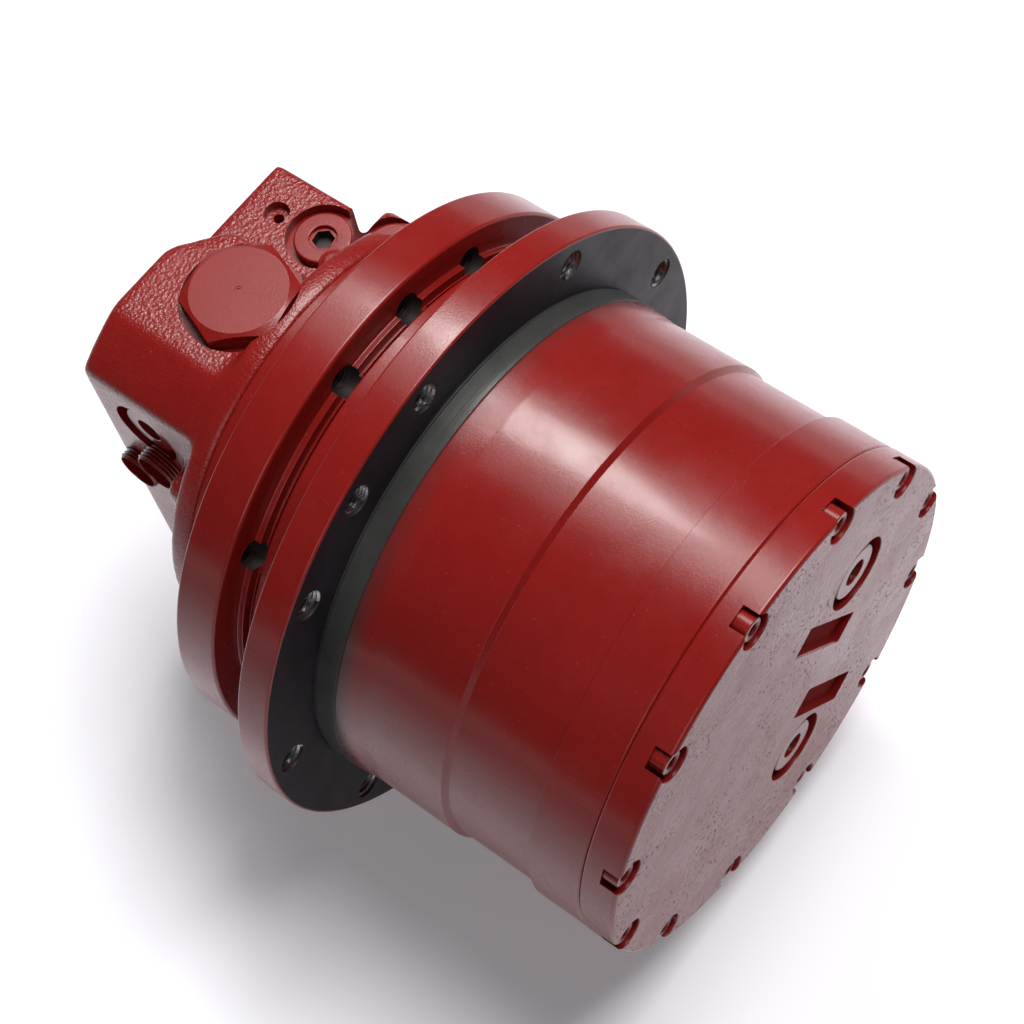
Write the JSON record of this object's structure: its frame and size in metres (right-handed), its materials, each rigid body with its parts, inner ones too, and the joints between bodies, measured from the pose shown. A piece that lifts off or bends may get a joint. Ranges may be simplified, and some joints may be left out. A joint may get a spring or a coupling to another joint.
{
  "type": "excavator final drive",
  "caption": "Hydraulic track drive: piston motor, parking brake and two-stage planetary gearbox in a round hub with a tapped sprocket flange and a tapped frame flange",
  "frame": {"origin": "On the turning axis, in the front face of the sprocket flange, against which the sprocket seats", "axes": "Y is the turning axis and the end cover faces -Y; +Z points out of the raised valve boss with the big hexagon plug; the hose adapters face -X"},
  "size_m": [0.2628, 0.2796, 0.2628],
  "materials": {
    "red_paint": "semi-gloss red paint on casting",
    "motor_paint": "red paint on coarse casting",
    "frame_iron": "red paint",
    "screw_steel": "painted over steel",
    "plug_steel": "painted over steel",
    "steel": "machined steel",
    "gear_steel": "hardened and ground",
    "bronze": "machined",
    "seal_rubber": "moulded",
    "friction_lining": "sintered",
    "iron": "machined"
  },
  "bodies": {
    "frame_side": {"spindle_housing": "frame_iron", "port_block": "motor_paint", "port_block_bolts": "screw_steel", "seal_ring_frame": "steel", "seal_rubber_frame": "seal_rubber", "bearing_inner_rear": "steel", "bearing_inner_front": "steel", "second_carrier": "iron", "carrier_bolts": "steel", "planet_pins_2": "steel", "spool_plug_top": "plug_steel", "spool_plug_bottom": "plug_steel", "spool_springs": "steel", "gallery_plugs": "plug_steel", "port_adapters": "screw_steel", "valve_plate": "bronze", "pivot_pins": "steel", "brake_spring": "steel", "steel_plates": "steel", "shaft_bearing_front": "steel", "shaft_bearing_rear": "steel", "shaft_seal": "seal_rubber"},
    "hub_side": {"hub": "red_paint", "ring_gear": "gear_steel", "cover": "red_paint", "cover_screws": "screw_steel", "cover_plugs": "plug_steel", "cover_seal": "seal_rubber", "thrust_pad": "bronze", "bearing_outer_rear": "steel", "bearing_outer_front": "steel", "seal_ring_hub": "steel", "seal_rubber_hub": "seal_rubber"},
    "rollers_rear": {"bearing_rollers_rear": "steel"},
    "rollers_front": {"bearing_rollers_front": "steel"},
    "first_stage": {"first_carrier": "iron", "planet_pins_1": "steel", "second_sun_gear": "gear_steel"},
    "motor": {"motor_shaft": "steel", "first_sun_gear": "gear_steel", "cylinder_block": "iron", "pistons": "steel", "piston_shoes": "bronze", "retainer_plate": "steel", "friction_plates": "friction_lining"},
    "swash": {"swash_plate": "iron"},
    "swash_control": {"swash_piston": "steel"},
    "brake": {"brake_piston": "iron"},
    "spool": {"counterbalance_spool": "steel"},
    "first_planet_1": {"first_planet_1": "gear_steel"},
    "first_planet_2": {"first_planet_2": "gear_steel"},
    "first_planet_3": {"first_planet_3": "gear_steel"},
    "second_planet_1": {"second_planet_1": "gear_steel"},
    "second_planet_2": {"second_planet_2": "gear_steel"},
    "second_planet_3": {"second_planet_3": "gear_steel"},
    "second_planet_4": {"second_planet_4": "gear_steel"}
  },
  "joints": [
    {"name": "hub_spin", "type": "hinge", "parent": "frame_side", "child": "hub_side", "pos_m": [0, 0, 0], "axis": [0, 1, 0], "continuous": true},
    {"name": "first_stage_spin", "type": "hinge", "parent": "frame_side", "child": "first_stage", "pos_m": [0, 0, 0], "axis": [0, 1, 0], "continuous": true},
    {"name": "motor_spin", "type": "hinge", "parent": "frame_side", "child": "motor", "pos_m": [0, 0, 0], "axis": [0, 1, 0], "continuous": true},
    {"name": "rollers_rear_spin", "type": "hinge", "parent": "frame_side", "child": "rollers_rear", "pos_m": [0, 0, 0], "axis": [0, 1, 0], "continuous": true},
    {"name": "rollers_front_spin", "type": "hinge", "parent": "frame_side", "child": "rollers_front", "pos_m": [0, 0, 0], "axis": [0, 1, 0], "continuous": true},
    {"name": "first_planet_1_spin", "type": "hinge", "parent": "first_stage", "child": "first_planet_1", "pos_m": [0, 0, 0.0495], "axis": [0, 1, 0], "continuous": true},
    {"name": "first_planet_2_spin", "type": "hinge", "parent": "first_stage", "child": "first_planet_2", "pos_m": [-0.04287, 0, -0.02475], "axis": [0, 1, 0], "continuous": true},
    {"name": "first_planet_3_spin", "type": "hinge", "parent": "first_stage", "child": "first_planet_3", "pos_m": [0.04287, 0, -0.02475], "axis": [0, 1, 0], "continuous": true},
    {"name": "second_planet_1_spin", "type": "hinge", "parent": "frame_side", "child": "second_planet_1", "pos_m": [0.03606, 0, 0.03606], "axis": [0, 1, 0], "continuous": true},
    {"name": "second_planet_2_spin", "type": "hinge", "parent": "frame_side", "child": "second_planet_2", "pos_m": [-0.03606, 0, 0.03606], "axis": [0, 1, 0], "continuous": true},
    {"name": "second_planet_3_spin", "type": "hinge", "parent": "frame_side", "child": "second_planet_3", "pos_m": [-0.03606, 0, -0.03606], "axis": [0, 1, 0], "continuous": true},
    {"name": "second_planet_4_spin", "type": "hinge", "parent": "frame_side", "child": "second_planet_4", "pos_m": [0.03606, 0, -0.03606], "axis": [0, 1, 0], "continuous": true},
    {"name": "swash_tilt", "type": "hinge", "parent": "frame_side", "child": "swash", "pos_m": [0, -0.005, 0], "axis": [1, 0, 0], "range_deg": [0, 6]},
    {"name": "swash_control_slide", "type": "slide", "parent": "frame_side", "child": "swash_control", "axis": [0, 1, 0], "range_m": [0, 0.0034]},
    {"name": "brake_release", "type": "slide", "parent": "frame_side", "child": "brake", "axis": [0, 1, 0], "range_m": [0, 0.0015], "stiffness_N_per_m": 20000, "springref_m": -0.002, "deforming": ["brake_spring"]},
    {"name": "spool_slide", "type": "slide", "parent": "frame_side", "child": "spool", "axis": [0, 0, 1], "range_m": [-0.006, 0.006], "stiffness_N_per_m": 8000, "deforming": ["spool_springs"]}
  ],
  "couplings": [
    {"joint": "first_stage_spin", "follows": "hub_spin", "ratio": -3.8571},
    {"joint": "motor_spin", "follows": "hub_spin", "ratio": -25.714},
    {"joint": "rollers_rear_spin", "follows": "hub_spin", "ratio": 0.53573},
    {"joint": "rollers_front_spin", "follows": "hub_spin", "ratio": 0.53573},
    {"joint": "first_planet_1_spin", "follows": "hub_spin", "ratio": 12.49},
    {"joint": "first_planet_2_spin", "follows": "hub_spin", "ratio": 12.49},
    {"joint": "first_planet_3_spin", "follows": "hub_spin", "ratio": 12.49},
    {"joint": "second_planet_1_spin", "follows": "hub_spin", "ratio": 2.7},
    {"joint": "second_planet_2_spin", "follows": "hub_spin", "ratio": 2.7},
    {"joint": "second_planet_3_spin", "follows": "hub_spin", "ratio": 2.7},
    {"joint": "second_planet_4_spin", "follows": "hub_spin", "ratio": 2.7},
    {"joint": "swash_control_slide", "follows": "swash_tilt", "m_per_rad": 0.032}
  ]
}
